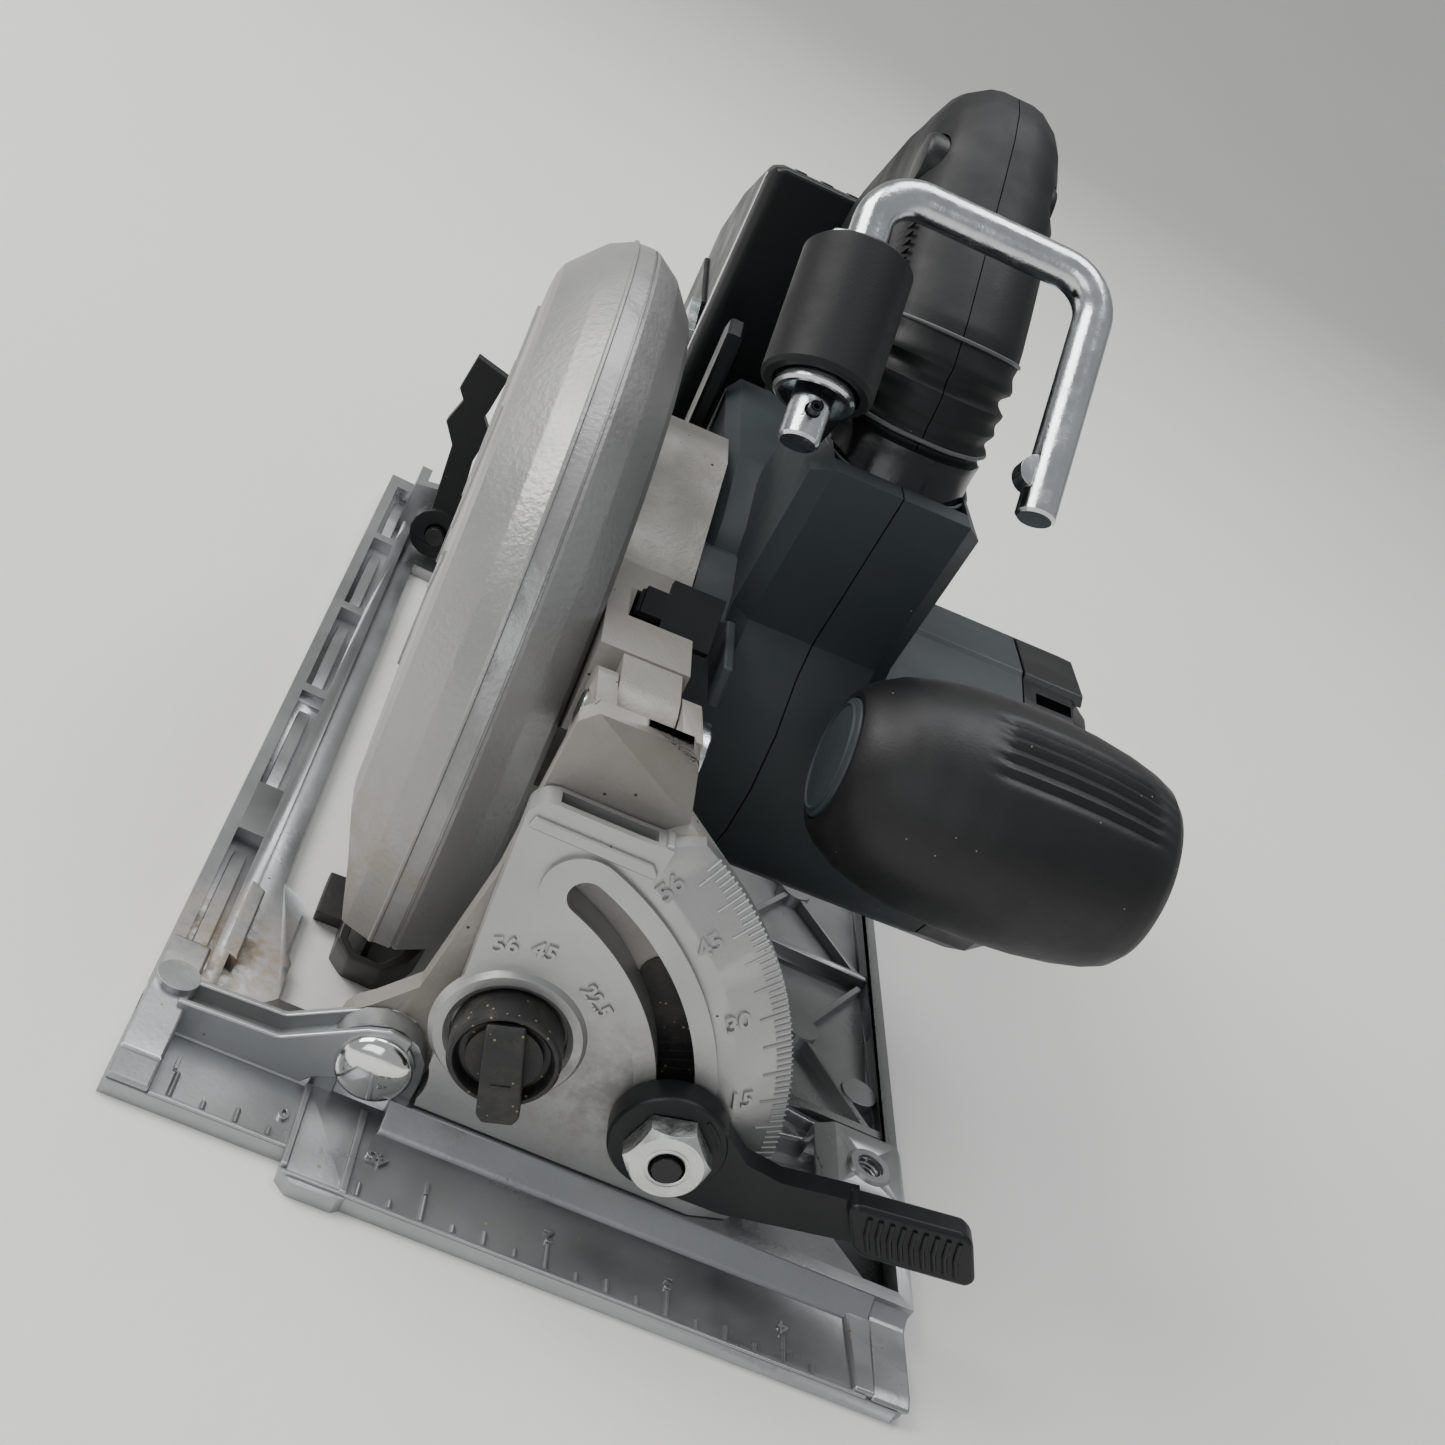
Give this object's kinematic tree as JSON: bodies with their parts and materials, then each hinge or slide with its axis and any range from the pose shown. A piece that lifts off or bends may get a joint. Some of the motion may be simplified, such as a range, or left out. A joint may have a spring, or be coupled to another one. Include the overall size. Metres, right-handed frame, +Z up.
{
  "type": "circular saw",
  "caption": "Battery circular saw with a tilting and height adjusting shoe, sprung lower guard, closed top handle, front handle and rafter hook.",
  "frame": {"origin": "on the sole of the base, where the cut line at 0 degrees of bevel crosses the front edge of the left ruler", "axes": "+X towards the motor side, +Y towards the rear and the battery, +Z up from the sole"},
  "size_m": [0.1738, 0.3105, 0.2588],
  "materials": {
    "cast_aluminium": "satin die-cast",
    "bead_blasted": "bead blasted",
    "guard_paint": "silver grey fine orange peel paint",
    "black_plastic": "fine textured black",
    "soft_black": "soft matt elastomer",
    "slate_plastic": "fine spark textured slate grey",
    "zinc_plate": "bright zinc plated",
    "steel": "ground steel",
    "black_steel": "black oxide",
    "chrome": "polished",
    "windings": "laminations with copper windings",
    "board": "potted circuit board",
    "cells": "wrapped round cells"
  },
  "bodies": {
    "root": {"base_plate": "cast_aluminium", "quadrant_plate": "cast_aluminium", "quadrant_screw_a": "steel", "quadrant_screw_b": "steel", "front_pivot_pin": "chrome", "rear_pivot_pin": "zinc_plate", "rear_lock_bolt": "black_steel"},
    "rear_lever": {"rear_lock_lever": "black_plastic"},
    "stop_shaft": {"bevel_stop_shaft": "steel"},
    "stop_knob": {"bevel_stop_knob": "black_plastic"},
    "bevel_frame": {"front_bevel_bracket": "bead_blasted", "depth_pivot_pin": "steel", "bevel_lock_bolt": "zinc_plate", "bevel_lock_nut": "zinc_plate", "depth_guide": "zinc_plate"},
    "bevel_lever": {"bevel_lock_lever": "black_plastic"},
    "saw_body": {"upper_guard": "guard_paint", "guard_screw_1": "steel", "guard_screw_2": "steel", "guard_screw_3": "steel", "gear_case": "bead_blasted", "bearing_plate": "cast_aluminium", "housing_left": "slate_plastic", "housing_right": "slate_plastic", "motor_end_cap": "black_plastic", "handle_left": "soft_black", "handle_right": "soft_black", "switch_module": "black_plastic", "controller_board": "board", "front_handle_arm": "slate_plastic", "front_handle_grip": "soft_black", "hook_bushing": "black_plastic", "motor_stator": "windings", "bearing_arbor_outer": "steel", "bearing_arbor_inner": "steel", "bearing_motor_front": "steel", "bearing_motor_rear": "steel", "depth_lock_bolt": "zinc_plate", "hub_retaining_ring": "steel", "lower_guard_spring": "steel"},
    "depth_lever": {"depth_lock_lever": "black_plastic"},
    "spindle_lock": {"spindle_lock": "black_plastic"},
    "lower_guard": {"lower_guard": "black_steel"},
    "blade_arbor": {"arbor_shaft": "steel", "arbor_gear": "steel", "inner_flange": "steel", "outer_flange": "steel", "saw_blade": "steel", "blade_bolt": "zinc_plate"},
    "rotor": {"rotor_shaft": "steel", "motor_rotor": "black_steel", "cooling_fan": "black_plastic"},
    "trigger": {"trigger": "black_plastic"},
    "lock_off": {"lock_off_button": "black_plastic"},
    "hook": {"rafter_hook": "zinc_plate", "hook_roll_pin": "black_steel", "hook_washer": "zinc_plate"},
    "battery": {"battery_case": "black_plastic", "battery_cells": "cells"},
    "battery_latch": {"battery_latch": "soft_black"}
  },
  "joints": [
    {"name": "bevel_tilt", "type": "hinge", "parent": "root", "child": "bevel_frame", "pos_m": [0.0076, 0.15, 0.0138], "axis": [0, -1, 0], "range_deg": [-3.5, 52.5]},
    {"name": "depth_adjust", "type": "hinge", "parent": "bevel_frame", "child": "saw_body", "pos_m": [0.02343, 0.045, 0.08911], "axis": [0.9981, 0, 0.061], "range_deg": [-10, 25]},
    {"name": "blade_spin", "type": "hinge", "parent": "saw_body", "child": "blade_arbor", "pos_m": [-0.00207, 0.14, 0.04747], "axis": [0.9981, 0, 0.061], "continuous": true},
    {"name": "rotor_spin", "type": "hinge", "parent": "saw_body", "child": "rotor", "pos_m": [0.06682, 0.12, 0.06772], "axis": [0.9981, 0, 0.061], "continuous": true},
    {"name": "lower_guard_swing", "type": "hinge", "parent": "saw_body", "child": "lower_guard", "pos_m": [0.00791, 0.14, 0.04808], "axis": [0.9981, 0, 0.061], "range_deg": [0, 126], "stiffness_Nm_per_rad": 0.12, "springref_deg": -114.59},
    {"name": "bevel_lever_turn", "type": "hinge", "parent": "bevel_frame", "child": "bevel_lever", "pos_m": [0.06343, 0.013, 0.02876], "axis": [0, -1, 0], "range_deg": [0, 60]},
    {"name": "rear_lever_turn", "type": "hinge", "parent": "root", "child": "rear_lever", "pos_m": [-0.0184, 0.2585, 0.0138], "axis": [0, -1, 0], "range_deg": [0, 70]},
    {"name": "stop_turn", "type": "hinge", "parent": "root", "child": "stop_shaft", "pos_m": [0.0272, 0.02, 0.033], "axis": [0, -1, 0], "range_deg": [0, 200]},
    {"name": "stop_push", "type": "slide", "parent": "stop_shaft", "child": "stop_knob", "axis": [0, 1, 0], "range_m": [0, 0.0025], "stiffness_N_per_m": 600, "springref_m": -0.003},
    {"name": "depth_lever_turn", "type": "hinge", "parent": "saw_body", "child": "depth_lever", "pos_m": [0.02971, 0.1954, 0.05192], "axis": [0.9981, 0, 0.061], "range_deg": [0, 20]},
    {"name": "spindle_lock_push", "type": "slide", "parent": "saw_body", "child": "spindle_lock", "axis": [0.0432, 0.7071, -0.7058], "range_m": [0, 0.0025], "stiffness_N_per_m": 500, "springref_m": -0.003},
    {"name": "trigger_pull", "type": "slide", "parent": "saw_body", "child": "trigger", "axis": [-0.0506, 0.56, 0.8269], "range_m": [0, 0.0035], "stiffness_N_per_m": 600, "springref_m": -0.003},
    {"name": "lock_off_push", "type": "slide", "parent": "saw_body", "child": "lock_off", "axis": [0.9981, 0, 0.061], "range_m": [-0.0025, 0.0025], "stiffness_N_per_m": 400},
    {"name": "hook_swing", "type": "hinge", "parent": "saw_body", "child": "hook", "pos_m": [0.02666, 0.082, 0.16745], "axis": [0.0443, -0.6884, -0.724], "range_deg": [0, 180]},
    {"name": "battery_slide", "type": "slide", "parent": "saw_body", "child": "battery", "axis": [0, 1, 0], "range_m": [0, 0.06]},
    {"name": "battery_latch_push", "type": "slide", "parent": "battery", "child": "battery_latch", "axis": [0.061, 0, -0.9981], "range_m": [0, 0.0018], "stiffness_N_per_m": 800, "springref_m": -0.002}
  ],
  "couplings": [
    {"joint": "rotor_spin", "follows": "blade_spin", "ratio": -4.1}
  ]
}
